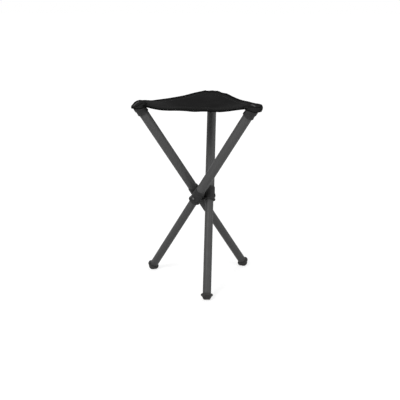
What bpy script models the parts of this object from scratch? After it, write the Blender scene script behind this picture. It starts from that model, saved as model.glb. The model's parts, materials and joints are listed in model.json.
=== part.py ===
"""Telescopic tripod stool.

Three telescopic legs cross at a folding hub and carry a three-cornered cloth
seat on their upper ends. Metres, +Z up, floor at z = 0, origin in the middle
of the bounding box on the floor.
"""
import math

import bmesh
import bpy
from mathutils import Matrix, Vector

MM = 0.001

# Tripod layout. Each leg swings on a level pin that points out from the hub.
LEG_COUNT = 3
LEG_TILT = math.radians(33.3)
SIN_TILT = math.sin(LEG_TILT)
COS_TILT = math.cos(LEG_TILT)
FACETS = 28

# Fits.
GAP = 0.3 * MM
PIN_FIT = 0.3 * MM
SLIDE_FIT = 0.4 * MM

# Upper tube, measured from the pivot along the leg.
UPPER_RADIUS = 12.4 * MM
TUBE_WALL = 1.2 * MM
UPPER_TOP = 288.0 * MM

# Lower tube, which slides in the upper one.
LOWER_RADIUS = UPPER_RADIUS - TUBE_WALL - SLIDE_FIT
LOWER_TOP = 36.0 * MM
FOOT_CENTRE = -264.2 * MM

# Hub sleeve round the foot of the upper tube.
SLEEVE_WALL = 1.55 * MM
SLEEVE_RADIUS = UPPER_RADIUS + GAP + SLEEVE_WALL
SLEEVE_LIP = 1.75 * MM
SLEEVE_LIP_RADIUS = SLEEVE_RADIUS + SLEEVE_LIP
SLEEVE_LOW = -13.0 * MM
SLEEVE_TOP = 24.0 * MM
SLEEVE_LIP_HEIGHT = 3.6 * MM
SLEEVE_FLOOR = 4.0 * MM

# Pivot stub on the sleeve, trapped between the two halves of the core.
# Its flange and pad count from the tripod axis.
STUB_RADIUS = 4.2 * MM
STUB_PAD_RADIUS = 7.2 * MM
STUB_FLANGE_RADIUS = 5.3 * MM
STUB_FLANGE_INNER = 3.7 * MM
STUB_FLANGE_OUTER = 5.5 * MM
STUB_PAD_FACE = 7.8 * MM
STUB_PAD_HEIGHT = 0.35 * MM
PIVOT_RADIUS = STUB_PAD_FACE + STUB_PAD_HEIGHT + SLEEVE_RADIUS

# Core of the hub.
CORE_CORNER = 13.0 * MM
CORE_HALF_HEIGHT = 9.0 * MM
SCREW_RADIUS = 1.5 * MM
SCREW_HEAD_RADIUS = 3.2 * MM
SCREW_HEAD_HEIGHT = 2.0 * MM
NUT_RADIUS = 3.2 * MM
NUT_HEIGHT = 2.6 * MM

# Release button in a boss on the sleeve, heights from the leg's axis. Pressed
# home, its flange meets the tube.
BUTTON_RADIUS = 2.9 * MM
BUTTON_PROUD = 0.8 * MM
BUTTON_FLANGE_RADIUS = 3.9 * MM
BUTTON_FLANGE = 0.6 * MM
BUTTON_TRAVEL = 1.2 * MM
BOSS_RADIUS = 5.4 * MM
BOSS_WALL = 1.1 * MM
BOSS_FACE = UPPER_RADIUS + BUTTON_TRAVEL + BUTTON_FLANGE + GAP + BOSS_WALL

# Lock clip inside the lower tube: a bent leaf with a nose that fills the holes.
NOSE_RADIUS = 2.6 * MM
NOSE_SUNK = 0.3 * MM
LEAF_INSET = 1.4 * MM
LEAF_FRONT = LOWER_RADIUS - TUBE_WALL - LEAF_INSET
LEAF_THICKNESS = 0.8 * MM
LEAF_WIDTH = 6.0 * MM
LEAF_LENGTH = 30.0 * MM

# Guide bush on top of the lower tube.
BUSH_RADIUS = UPPER_RADIUS - TUBE_WALL - GAP
BUSH_HEIGHT = 6.0 * MM
BUSH_PLUG = 10.0 * MM
BUSH_WALL = 2.8 * MM
BUSH_BORE = LOWER_RADIUS - TUBE_WALL - GAP - BUSH_WALL

# Corner fitting on top of the upper tube.
COLLAR_LENGTH = 16.5 * MM
COLLAR_LOW = UPPER_TOP - COLLAR_LENGTH
COLLAR_WALL = 1.6 * MM
COLLAR_RADIUS = UPPER_RADIUS + GAP + COLLAR_WALL
COLLAR_LIP = 0.5 * MM
COLLAR_LIP_RADIUS = COLLAR_RADIUS + COLLAR_LIP
HEAD_SKIRT = 3.0 * MM
HEAD_LOW = UPPER_TOP - HEAD_SKIRT
HEAD_STEP = 1.5 * MM
HEAD_RADIUS = COLLAR_RADIUS + HEAD_STEP
HEAD_HEIGHT = 11.6 * MM
HEAD_TOP = UPPER_TOP + HEAD_HEIGHT
HEAD_ROUND = 4.0 * MM

# Cloth pocket over the head. Its hem hangs below the level of the head's top.
CLOTH = 1.5 * MM
POCKET_HEM = 7.2 * MM
HEM_TILT = math.radians(7.0)

# Rubber foot.
FOOT_FLANGE = 4.5 * MM
FOOT_RADIUS = LOWER_RADIUS + FOOT_FLANGE
FOOT_RIM = 2.2 * MM
FOOT_TOP = 4.2 * MM
FOOT_LIP = 0.9 * MM
FOOT_LIP_RADIUS = LOWER_RADIUS + GAP + FOOT_LIP
FOOT_STEP = 1.8 * MM
FOOT_NECK_RADIUS = FOOT_RADIUS - FOOT_STEP
FOOT_NOSE_RADIUS = 10.2 * MM
FOOT_NOSE = 11.1 * MM
FOOT_PLUG = 14.0 * MM
FOOT_FLAT = 2.758 * MM
FOOT_END = FOOT_CENTRE - FOOT_NOSE
PIVOT_HEIGHT = -FOOT_END * COS_TILT + FOOT_NOSE_RADIUS * SIN_TILT - FOOT_FLAT

# Seat panel. Its corners lie above the level of the heads' tops, and end short
# of the legs' axes. Heights count from the pivot level.
SEAT_RISE = 6.0 * MM
SEAT_LEVEL = HEAD_TOP * COS_TILT + SEAT_RISE
SEAT_THICKNESS = 2.2 * MM
SEAT_CORNER_INSET = 10.4 * MM
SEAT_CORNER = SEAT_LEVEL * math.tan(LEG_TILT) - SEAT_CORNER_INSET
SEAT_CORNER_HALF = 17.5 * MM
# Edges in turn: rear to left, left to right across the front, right to rear.
SEAT_EDGE_PULL = (5.5 * MM, 4.0 * MM, 1.0 * MM)
SEAT_EDGE_SAG = (5.5 * MM, 16.2 * MM, 2.5 * MM)
SEAT_EDGE_FLATNESS = (2.0, 6.0, 2.0)
SEAT_CENTRE_SAG = 17.0 * MM
SEAT_EDGE_STEPS = 12
SEAT_CORNER_STEPS = 3
SEAT_RINGS = 5
BINDING_RADIUS = 1.7 * MM
BINDING_END = 0.10


def clear_scene():
    for obj in list(bpy.data.objects):
        bpy.data.objects.remove(obj, do_unlink=True)


def make_material(name, colour, roughness, metallic=0.0):
    material = bpy.data.materials.new(name)
    material.use_nodes = True
    shader = material.node_tree.nodes["Principled BSDF"]
    shader.inputs["Base Color"].default_value = (*colour, 1.0)
    shader.inputs["Roughness"].default_value = roughness
    shader.inputs["Metallic"].default_value = metallic
    return material


def make_collection(name):
    collection = bpy.data.collections.new(name)
    bpy.context.scene.collection.children.link(collection)
    return collection


def make_empty(name, parent=None, location=(0, 0, 0), rotation=(0, 0, 0)):
    empty = bpy.data.objects.new(name, None)
    bpy.context.scene.collection.objects.link(empty)
    empty.parent = parent
    empty.location = location
    empty.rotation_euler = rotation
    return empty


def add_object(name, bm, parent, material=None, cutter=False):
    bmesh.ops.recalc_face_normals(bm, faces=bm.faces)
    mesh = bpy.data.meshes.new(name)
    bm.to_mesh(mesh)
    bm.free()
    obj = bpy.data.objects.new(name, mesh)
    obj.parent = parent
    if cutter:
        cutters.objects.link(obj)
        obj.hide_render = True
        obj.display_type = "WIRE"
    else:
        pieces.objects.link(obj)
        mesh.materials.append(material)
    return obj


def turned(profile, facets=FACETS, matrix=None):
    """Closed profile of (radius, height) points turned about Z."""
    bm = bmesh.new()
    verts = [bm.verts.new((r, 0.0, z)) for r, z in profile]
    edges = [bm.edges.new((verts[i], verts[(i + 1) % len(verts)]))
             for i in range(len(verts))
             if profile[i][0] > 0 or profile[(i + 1) % len(verts)][0] > 0]
    bmesh.ops.spin(bm, geom=verts + edges, cent=(0, 0, 0), axis=(0, 0, 1),
                   angle=2 * math.pi, steps=facets, use_merge=True)
    bmesh.ops.remove_doubles(bm, verts=bm.verts, dist=1e-6)
    if matrix is not None:
        bmesh.ops.transform(bm, matrix=matrix, verts=bm.verts)
    return bm


def extruded(outline, depth, matrix=None):
    """Flat outline in XY raised along Z, half each way."""
    bm = bmesh.new()
    face = bm.faces.new([bm.verts.new((x, y, -depth / 2)) for x, y in outline])
    grown = bmesh.ops.extrude_face_region(bm, geom=[face])
    top = [v for v in grown["geom"] if isinstance(v, bmesh.types.BMVert)]
    bmesh.ops.translate(bm, vec=(0, 0, depth), verts=top)
    if matrix is not None:
        bmesh.ops.transform(bm, matrix=matrix, verts=bm.verts)
    return bm


def box(size, matrix):
    bm = bmesh.new()
    bmesh.ops.create_cube(bm, size=1.0)
    bmesh.ops.scale(bm, vec=size, verts=bm.verts)
    bmesh.ops.transform(bm, matrix=matrix, verts=bm.verts)
    return bm


def combine(obj, tool, operation):
    modifier = obj.modifiers.new(operation.lower(), "BOOLEAN")
    modifier.operation = operation
    modifier.solver = "EXACT"
    modifier.object = tool


def cut(obj, bm, parent):
    combine(obj, add_object(obj.name + "_cutter", bm, parent, cutter=True), "DIFFERENCE")


def join(obj, bm, parent):
    combine(obj, add_object(obj.name + "_addition", bm, parent, cutter=True), "UNION")


def round_edge(radius, top, rounding, steps=3):
    """Profile points of a rounded outer edge, from the side to the top."""
    return [(radius - rounding + rounding * math.cos(a), top - rounding + rounding * math.sin(a))
            for a in (math.pi / 2 * k / steps for k in range(steps + 1))]


# Points along X: turned about Z first, then laid over.
ALONG_X = Matrix.Rotation(math.pi / 2, 4, "Y")


def cut_nose_hole(tube, leg, hole, radius):
    start, end = radius / 2, radius + TUBE_WALL
    cut(tube, turned([(0, start), (hole, start), (hole, end), (0, end)], 16, ALONG_X), leg)


def upper_tube(name, leg):
    low = SLEEVE_LOW + SLEEVE_FLOOR + GAP
    inner = UPPER_RADIUS - TUBE_WALL
    tube = add_object(name, turned([(inner, low), (UPPER_RADIUS, low),
                                    (UPPER_RADIUS, UPPER_TOP), (inner, UPPER_TOP)]),
                      leg, tube_upper_paint)
    cut_nose_hole(tube, leg, NOSE_RADIUS + PIN_FIT, UPPER_RADIUS)


def hub_sleeve(name, leg):
    bore = UPPER_RADIUS + GAP
    guide = LOWER_RADIUS + GAP
    lip = SLEEVE_LOW + SLEEVE_LIP_HEIGHT
    chamfer = SLEEVE_TOP - 2.6 * MM
    rim = bore + (SLEEVE_RADIUS - bore) * 0.62
    sleeve = add_object(name, turned([
        (guide, SLEEVE_LOW), (SLEEVE_LIP_RADIUS - 0.7 * MM, SLEEVE_LOW),
        (SLEEVE_LIP_RADIUS, SLEEVE_LOW + 0.7 * MM), (SLEEVE_LIP_RADIUS, lip - 0.7 * MM),
        (SLEEVE_RADIUS, lip + 0.6 * MM), (SLEEVE_RADIUS, chamfer),
        (rim, SLEEVE_TOP), (bore, SLEEVE_TOP),
        (bore, SLEEVE_LOW + SLEEVE_FLOOR), (guide, SLEEVE_LOW + SLEEVE_FLOOR)]), leg, hub_plastic)
    # The lip is cut flat where it faces the core.
    depth = 20 * MM
    flat = Matrix.Translation((STUB_PAD_FACE - PIVOT_RADIUS - depth / 2, 0, 0))
    cut(sleeve, box((depth, 60 * MM, 90 * MM), flat), leg)
    # The stub runs inwards, so its heights count from the tripod axis.
    root = (bore + SLEEVE_RADIUS) / 2 - 0.35 * MM
    inwards = Matrix.Translation((-PIVOT_RADIUS, 0, 0)) @ ALONG_X
    join(sleeve, turned([
        (0, STUB_FLANGE_INNER), (STUB_FLANGE_RADIUS, STUB_FLANGE_INNER),
        (STUB_FLANGE_RADIUS, STUB_FLANGE_OUTER), (STUB_RADIUS, STUB_FLANGE_OUTER),
        (STUB_RADIUS, STUB_PAD_FACE), (STUB_PAD_RADIUS, STUB_PAD_FACE),
        (STUB_PAD_RADIUS, PIVOT_RADIUS - root), (0, PIVOT_RADIUS - root)], 20, inwards), leg)
    # Boss on the outer side, stepped inside to trap the button's flange.
    join(sleeve, turned([(0, root), (BOSS_RADIUS, root)]
                        + round_edge(BOSS_RADIUS, BOSS_FACE, 0.7 * MM, 2) + [(0, BOSS_FACE)],
                        20, ALONG_X), leg)
    hole = BUTTON_RADIUS + PIN_FIT
    room = BUTTON_FLANGE_RADIUS + PIN_FIT
    step = BOSS_FACE - BOSS_WALL
    end = BOSS_FACE + 1 * MM
    cut(sleeve, turned([(0, LOWER_RADIUS), (room, LOWER_RADIUS), (room, step), (hole, step),
                        (hole, end), (0, end)], 20, ALONG_X), leg)


def corner_fitting(name, leg):
    bore = UPPER_RADIUS + GAP
    add_object(name, turned([
        (0, UPPER_TOP + GAP), (bore, UPPER_TOP + GAP), (bore, COLLAR_LOW),
        (COLLAR_LIP_RADIUS, COLLAR_LOW), (COLLAR_LIP_RADIUS, COLLAR_LOW + 2.0 * MM),
        (COLLAR_RADIUS, COLLAR_LOW + 2.8 * MM), (COLLAR_RADIUS, HEAD_LOW - 1.2 * MM),
        (HEAD_RADIUS, HEAD_LOW + 0.7 * MM)]
        + round_edge(HEAD_RADIUS, HEAD_TOP, HEAD_ROUND) + [(0, HEAD_TOP)]), leg, fitting_plastic)


def corner_pocket(name, leg):
    inside = GAP
    outside = GAP + CLOTH
    low = HEAD_LOW - 8 * MM
    pocket = add_object(name, turned(
        [(HEAD_RADIUS + outside, low)]
        + round_edge(HEAD_RADIUS + outside, HEAD_TOP + outside, HEAD_ROUND + outside, 4)
        + [(0, HEAD_TOP + outside), (0, HEAD_TOP + inside)]
        + round_edge(HEAD_RADIUS + inside, HEAD_TOP + inside, HEAD_ROUND + inside, 4)[::-1]
        + [(HEAD_RADIUS + inside, low)]), leg, pocket_cloth)
    depth = 2 * HEAD_TOP
    width = 4 * HEAD_TOP
    hem = HEAD_TOP - POCKET_HEM / COS_TILT
    level = Matrix.Translation((0, 0, hem)) @ Matrix.Rotation(LEG_TILT - HEM_TILT, 4, "X")
    cut(pocket, box((width, width, depth), level @ Matrix.Translation((0, 0, -depth / 2))), leg)


def lower_tube(name, leg):
    low = FOOT_CENTRE - 0.5 * MM
    inner = LOWER_RADIUS - TUBE_WALL
    tube = add_object(name, turned([(inner, low), (LOWER_RADIUS, low),
                                    (LOWER_RADIUS, LOWER_TOP), (inner, LOWER_TOP)]),
                      leg, tube_lower_paint)
    cut_nose_hole(tube, leg, NOSE_RADIUS + PIN_FIT, LOWER_RADIUS)


def guide_bush(name, leg):
    seat = LOWER_TOP + GAP
    plug = LOWER_RADIUS - TUBE_WALL - GAP
    add_object(name, turned([
        (BUSH_BORE, LOWER_TOP - BUSH_PLUG), (plug, LOWER_TOP - BUSH_PLUG), (plug, seat),
        (BUSH_RADIUS, seat), (BUSH_RADIUS, seat + BUSH_HEIGHT - 0.8 * MM),
        (BUSH_RADIUS - 0.8 * MM, seat + BUSH_HEIGHT), (BUSH_BORE, seat + BUSH_HEIGHT)]),
        leg, bush_plastic)


def release_button(name, leg):
    tip = BOSS_FACE + BUTTON_PROUD
    face = BOSS_FACE - BOSS_WALL - GAP
    back = UPPER_RADIUS
    add_object(name, turned([
        (0, back), (NOSE_RADIUS, back), (NOSE_RADIUS, face - BUTTON_FLANGE),
        (BUTTON_FLANGE_RADIUS, face - BUTTON_FLANGE), (BUTTON_FLANGE_RADIUS, face),
        (BUTTON_RADIUS, face)]
        + round_edge(BUTTON_RADIUS, tip, 1.2 * MM, 3) + [(0, tip)], 16, ALONG_X), leg, steel)


def lock_clip(name, leg):
    # Bent strip seen from the side: X across the tube, Y along it.
    front = LEAF_FRONT
    wall = LOWER_RADIUS - TUBE_WALL - GAP
    rear = -math.sqrt(wall ** 2 - (LEAF_WIDTH / 2) ** 2)
    t = LEAF_THICKNESS
    mid = (front + rear) / 2
    low = -LEAF_LENGTH
    knee = low + 8 * MM
    outline = [(front, 5 * MM), (front, -5 * MM), (mid + 1.6 * MM, low),
               (mid + 0.6 * MM, low - 2 * MM), (mid - 1.2 * MM, low - 2 * MM),
               (rear, knee), (rear, -6 * MM), (rear + t, -6 * MM),
               (rear + t, knee), (mid - 0.6 * MM, low - 1.1 * MM),
               (mid + 0.2 * MM, low - 1.1 * MM), (mid + 0.7 * MM, low),
               (front - t, -5 * MM), (front - t, 5 * MM)]
    clip = add_object(name, extruded(outline, LEAF_WIDTH, Matrix.Rotation(math.pi / 2, 4, "X")), leg, steel)
    tip = UPPER_RADIUS - NOSE_SUNK
    join(clip, turned([(0, front - t / 2), (NOSE_RADIUS, front - t / 2)]
                      + round_edge(NOSE_RADIUS, tip, 0.5 * MM, 2) + [(0, tip)], 16, ALONG_X), leg)


def rubber_foot(name, leg):
    socket = LOWER_RADIUS + GAP
    plug = LOWER_RADIUS - TUBE_WALL - GAP
    floor = -0.5 * MM - GAP
    profile = [(0, FOOT_PLUG), (plug, FOOT_PLUG), (plug, floor), (socket, floor),
               (socket, FOOT_TOP), (FOOT_LIP_RADIUS, FOOT_TOP),
               (FOOT_RADIUS - 0.9 * MM, FOOT_RIM), (FOOT_RADIUS, FOOT_RIM / 2), (FOOT_RADIUS, -FOOT_RIM / 2),
               (FOOT_RADIUS - 0.9 * MM, -FOOT_RIM), (FOOT_NECK_RADIUS, -FOOT_RIM - 0.8 * MM),
               (FOOT_NOSE_RADIUS + 0.5 * MM, -FOOT_NOSE + 1.0 * MM),
               (FOOT_NOSE_RADIUS, -FOOT_NOSE), (0, -FOOT_NOSE)]
    foot = add_object(name, turned([(r, z + FOOT_CENTRE) for r, z in profile]), leg, rubber)
    # The floor plane, seen from the leg.
    depth = 20 * MM
    floor_plane = Matrix.Rotation(LEG_TILT, 4, "X") @ Matrix.Translation((0, 0, -PIVOT_HEIGHT - depth / 2))
    reach = FOOT_END * SIN_TILT
    cut(foot, box((60 * MM, 80 * MM, depth), floor_plane @ Matrix.Translation((0, reach, 0))), leg)


def core_half(name, hub, side):
    flat = STUB_PAD_FACE - GAP
    outline = []
    for k in range(LEG_COUNT):
        corner = math.radians(60 + 120 * k)
        # Each corner of the triangle is cut off square.
        half = (2 * flat - CORE_CORNER) * math.tan(math.radians(30))
        for sign in (-1, 1):
            x, y = CORE_CORNER, sign * half
            outline.append((x * math.cos(corner) - y * math.sin(corner),
                            x * math.sin(corner) + y * math.cos(corner)))
    height = CORE_HALF_HEIGHT - GAP / 2
    middle = side * (CORE_HALF_HEIGHT + GAP / 2) / 2
    half_core = add_object(name, extruded(outline, height, Matrix.Translation((0, 0, middle))), hub, core_plastic)
    neck = STUB_RADIUS + PIN_FIT
    flange = STUB_FLANGE_RADIUS + PIN_FIT
    for k in range(LEG_COUNT):
        turn = Matrix.Rotation(math.radians(120 * k), 4, "Z") @ ALONG_X
        cut(half_core, turned([
            (0, STUB_FLANGE_INNER - GAP), (flange, STUB_FLANGE_INNER - GAP),
            (flange, STUB_FLANGE_OUTER + GAP), (neck, STUB_FLANGE_OUTER + GAP),
            (neck, CORE_CORNER), (0, CORE_CORNER)], 20, turn), hub)
    bore = SCREW_RADIUS + PIN_FIT
    end = CORE_HALF_HEIGHT + 1 * MM
    cut(half_core, turned([(0, -end), (bore, -end), (bore, end), (0, end)], 16), hub)
    if side < 0:
        low = -CORE_HALF_HEIGHT
        deep = low + NUT_HEIGHT + 2 * GAP
        cut(half_core, turned([(0, low - 1 * MM), (NUT_RADIUS + GAP, low - 1 * MM),
                               (NUT_RADIUS + GAP, deep), (0, deep)], 6), hub)


def core_screw(hub):
    seat = CORE_HALF_HEIGHT + GAP
    end = -CORE_HALF_HEIGHT + GAP
    screw = add_object("hub_screw", turned([
        (0, end), (SCREW_RADIUS, end), (SCREW_RADIUS, seat), (SCREW_HEAD_RADIUS, seat)]
        + round_edge(SCREW_HEAD_RADIUS, seat + SCREW_HEAD_HEIGHT, 0.6 * MM, 2)
        + [(0, seat + SCREW_HEAD_HEIGHT)], 16), hub, steel)
    top = seat + SCREW_HEAD_HEIGHT
    cut(screw, turned([(0, top - 1.1 * MM), (1.6 * MM, top - 1.1 * MM), (1.6 * MM, top + 1 * MM),
                       (0, top + 1 * MM)], 6), hub)
    low = -CORE_HALF_HEIGHT + GAP
    bore = SCREW_RADIUS + GAP
    nut = add_object("hub_nut", turned([(0, low), (NUT_RADIUS, low), (NUT_RADIUS, low + NUT_HEIGHT),
                                        (0, low + NUT_HEIGHT)], 6), hub, steel)
    cut(nut, turned([(0, low - 1 * MM), (bore, low - 1 * MM), (bore, low + NUT_HEIGHT + 1 * MM),
                     (0, low + NUT_HEIGHT + 1 * MM)], 16), hub)


def corner_points():
    """Ends of the seat's three corners: counter-clockwise pairs of points."""
    pairs = []
    for k in range(LEG_COUNT):
        turn = Matrix.Rotation(math.radians(120 * k), 3, "Z")
        out = (turn @ Vector((PIVOT_RADIUS, SEAT_CORNER, 0)))
        side = Vector((0, 0, 1)).cross(out.normalized()) * SEAT_CORNER_HALF
        pairs.append((out - side, out + side))
    return pairs


def edge_point(number, share):
    """Point of a seat edge, pulled in and hanging between its two corners."""
    pairs = corner_points()
    start, end = pairs[number][1], pairs[(number + 1) % LEG_COUNT][0]
    along = end - start
    outwards = along.cross(Vector((0, 0, 1))).normalized()
    curve = 1 - abs(2 * share - 1) ** SEAT_EDGE_FLATNESS[number]
    point = start + along * share - outwards * SEAT_EDGE_PULL[number] * curve
    point.z = SEAT_LEVEL - SEAT_EDGE_SAG[number] * curve
    return point, outwards


def seat_outline():
    pairs = corner_points()
    points = []
    for k, (first, second) in enumerate(pairs):
        for j in range(SEAT_CORNER_STEPS):
            point = first.lerp(second, j / SEAT_CORNER_STEPS)
            point.z = SEAT_LEVEL
            points.append(point)
        points += [edge_point(k, j / SEAT_EDGE_STEPS)[0] for j in range(SEAT_EDGE_STEPS)]
    return points


def seat_panel(hub, legs):
    outline = seat_outline()
    bm = bmesh.new()
    ring = bmesh.ops.create_circle(bm, cap_ends=True, cap_tris=True, segments=len(outline), radius=1.0)["verts"]
    centre = max(bm.verts, key=lambda v: len(v.link_edges))
    loop = [v for v in ring if v is not centre]
    edges = [e for e in bm.edges if centre not in e.verts]
    loop.sort(key=lambda v: math.atan2(v.co.y, v.co.x) % (2 * math.pi))
    rings = [loop]
    for _ in range(SEAT_RINGS - 1):
        grown = bmesh.ops.extrude_edge_only(bm, edges=edges)["geom"]
        edges = [g for g in grown if isinstance(g, bmesh.types.BMEdge)
                 and all(v in grown for v in g.verts) and g.is_boundary]
        verts = [g for g in grown if isinstance(g, bmesh.types.BMVert)]
        verts.sort(key=lambda v: math.atan2(v.co.y, v.co.x) % (2 * math.pi))
        rings.append(verts)
    middle = SEAT_LEVEL - SEAT_CENTRE_SAG
    for number, verts in enumerate(rings, 1):
        share = number / SEAT_RINGS
        for vert, point in zip(verts, outline):
            vert.co = (point.x * share, point.y * share, middle + (point.z - middle) * share ** 2)
    centre.co = (0, 0, middle)
    bmesh.ops.triangulate(bm, faces=bm.faces)
    panel = add_object("seat_panel", bm, hub, seat_cloth)
    # The dish faces up, so the thickness goes below it.
    solid = panel.modifiers.new("thickness", "SOLIDIFY")
    solid.thickness = SEAT_THICKNESS
    solid.offset = -1.0
    room = HEAD_RADIUS + CLOTH + 2 * GAP
    top = HEAD_TOP + CLOTH + 2 * GAP
    for leg in legs:
        cut(panel, turned([(0, HEAD_LOW - 30 * MM), (room, HEAD_LOW - 30 * MM)]
                          + round_edge(room, top, HEAD_ROUND + CLOTH + 2 * GAP, 4) + [(0, top)]), leg)
    return panel


def edge_binding(name, hub, k):
    curve = bpy.data.curves.new(name, "CURVE")
    curve.dimensions = "3D"
    curve.bevel_depth = BINDING_RADIUS
    curve.bevel_resolution = 1
    curve.use_fill_caps = True
    curve.resolution_u = 1
    curve.render_resolution_u = 0
    spline = curve.splines.new("POLY")
    count = 2 * SEAT_EDGE_STEPS + 1
    spline.points.add(count - 1)
    for j in range(count):
        share = BINDING_END + (1 - 2 * BINDING_END) * j / (count - 1)
        point, outwards = edge_point(k, share)
        point += outwards * (BINDING_RADIUS + 1.5 * GAP)
        spline.points[j].co = (point.x, point.y, point.z - SEAT_THICKNESS / 2, 1)
    obj = bpy.data.objects.new(name, curve)
    obj.parent = hub
    pieces.objects.link(obj)
    curve.materials.append(binding_cloth)
    caps = obj.modifiers.new("caps", "WELD")
    caps.merge_threshold = 0.01 * MM


def stand_on_origin(root):
    """Move the stool so that its bounding box stands centred on the origin."""
    bpy.context.view_layer.update()
    graph = bpy.context.evaluated_depsgraph_get()
    low, high = Vector((9, 9, 9)), Vector((-9, -9, -9))
    for obj in pieces.objects:
        shape = obj.evaluated_get(graph)
        mesh = shape.to_mesh()
        for vert in mesh.vertices:
            point = obj.matrix_world @ vert.co
            low = Vector(map(min, low, point))
            high = Vector(map(max, high, point))
        shape.to_mesh_clear()
    root.location = (-(low.x + high.x) / 2, -(low.y + high.y) / 2, 0)
    print("size", [round(v, 4) for v in high - low], "floor at", round(low.z, 5))


clear_scene()
pieces = make_collection("stool")
cutters = make_collection("cutters")

tube_upper_paint = make_material("satin_dark_grey_tube", (0.066, 0.066, 0.068), 0.42, 0.75)
tube_lower_paint = make_material("satin_grey_tube", (0.085, 0.085, 0.088), 0.40, 0.75)
hub_plastic = make_material("hub_sleeve_plastic", (0.030, 0.030, 0.031), 0.5)
core_plastic = make_material("hub_core_plastic", (0.014, 0.014, 0.015), 0.55)
fitting_plastic = make_material("corner_fitting_plastic", (0.032, 0.032, 0.033), 0.5)
bush_plastic = make_material("guide_bush_nylon", (0.55, 0.55, 0.52), 0.5)
seat_cloth = make_material("seat_polyester_cloth", (0.016, 0.016, 0.017), 0.9)
pocket_cloth = make_material("corner_pocket_cloth", (0.013, 0.013, 0.014), 0.9)
binding_cloth = make_material("edge_binding_tape", (0.006, 0.006, 0.007), 0.9)
rubber = make_material("foot_rubber", (0.028, 0.028, 0.028), 0.75)
steel = make_material("bright_steel", (0.62, 0.62, 0.63), 0.28, 1.0)

stool = make_empty("stool_frame")
tripod = make_empty("tripod_centre", stool, (0, 0, PIVOT_HEIGHT))
leg_frames = []
for number in range(1, LEG_COUNT + 1):
    azimuth = math.radians(120 * (number - 1))
    leg_frames.append(make_empty(
        f"leg_{number}_pivot", tripod,
        (PIVOT_RADIUS * math.cos(azimuth), PIVOT_RADIUS * math.sin(azimuth), 0),
        (-LEG_TILT, 0, azimuth)))

core_half("hub_core_lower", tripod, -1)
core_half("hub_core_upper", tripod, 1)
core_screw(tripod)
for number, frame in enumerate(leg_frames, 1):
    hub_sleeve(f"hub_sleeve_{number}", frame)
    upper_tube(f"upper_tube_{number}", frame)
    corner_fitting(f"corner_fitting_{number}", frame)
    corner_pocket(f"corner_pocket_{number}", frame)
    lower_tube(f"lower_tube_{number}", frame)
    guide_bush(f"guide_bush_{number}", frame)
    release_button(f"release_button_{number}", frame)
    lock_clip(f"lock_clip_{number}", frame)
    rubber_foot(f"rubber_foot_{number}", frame)
    edge_binding(f"edge_binding_{number}", tripod, number - 1)
seat_panel(tripod, leg_frames)
stand_on_origin(stool)

bpy.context.view_layer.update()
for frame in leg_frames:
    print(frame.name, [round(v, 6) for v in frame.matrix_world.translation],
          "leg axis", [round(v, 6) for v in frame.matrix_world.to_3x3().col[2]])
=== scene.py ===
import json
import bmesh
import bpy
from bisect import bisect
from math import atan2, cos, exp, hypot, pi, radians, sin, tan
from mathutils import Matrix, Vector, noise


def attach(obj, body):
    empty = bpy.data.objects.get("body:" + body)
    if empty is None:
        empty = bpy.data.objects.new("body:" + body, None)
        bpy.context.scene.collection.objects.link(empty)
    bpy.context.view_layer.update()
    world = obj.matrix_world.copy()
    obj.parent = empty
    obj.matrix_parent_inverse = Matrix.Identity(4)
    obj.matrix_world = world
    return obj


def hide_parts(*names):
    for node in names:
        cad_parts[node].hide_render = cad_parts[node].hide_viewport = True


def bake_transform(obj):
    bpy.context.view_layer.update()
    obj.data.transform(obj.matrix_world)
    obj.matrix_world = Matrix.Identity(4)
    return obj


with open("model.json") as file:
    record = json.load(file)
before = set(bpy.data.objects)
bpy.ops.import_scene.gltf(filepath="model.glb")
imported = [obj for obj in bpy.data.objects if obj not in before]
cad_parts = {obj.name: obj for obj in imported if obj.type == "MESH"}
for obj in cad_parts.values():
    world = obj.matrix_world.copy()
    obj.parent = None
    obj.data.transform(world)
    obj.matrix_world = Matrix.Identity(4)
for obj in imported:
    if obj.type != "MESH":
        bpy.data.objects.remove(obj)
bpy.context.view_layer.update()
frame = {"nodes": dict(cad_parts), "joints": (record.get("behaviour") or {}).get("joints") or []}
scene = bpy.context.scene
mm = 0.001
upward = Vector((0, 0, 1))

# Each leg has its own axes: X out from the hub along the pivot, Z up the leg.
legs, joints = [], {joint["name"]: joint for joint in frame["joints"]}
for number in (1, 2, 3):
    fold, slide = joints[f"leg_{number}_fold"], joints[f"leg_{number}_slide"]
    outward, up = Vector(fold["axis"]), Vector(slide["axis"])
    up = up if up.z > 0 else -up
    place = Matrix((outward, up.cross(outward), up)).transposed().to_4x4()
    place.translation = Vector(fold["pos_m"])
    legs.append({"number": number, "place": place, "outward": outward,
                 "upper": f"upper_leg_{number}", "lower": f"lower_leg_{number}", "button": f"button_{number}"})
hubPoint = sum((leg["place"].translation for leg in legs), Vector()) / len(legs)
pivotRadius = (legs[0]["place"].translation - hubPoint).length
pivotReach = pivotRadius / mm

# Camera of the photograph
cameraView = {"turn": 2.9726, "drop": 16.7412, "reach": 1.7904, "rise": 0.5256, "yaw": 0.0015, "lens": 63.495}
turn = radians(cameraView["turn"])
camera = bpy.data.objects.new("photoCamera", bpy.data.cameras.new("photoCamera"))
scene.collection.objects.link(camera)
camera.location = hubPoint + Vector((cameraView["reach"] * sin(turn), -cameraView["reach"] * cos(turn),
                                     cameraView["rise"]))
camera.rotation_euler = (radians(90 - cameraView["drop"]), 0, turn + cameraView["yaw"])
camera.data.lens = cameraView["lens"]
scene.camera = camera
scene.view_settings.view_transform = "Standard"
print("camera placed")


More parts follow.
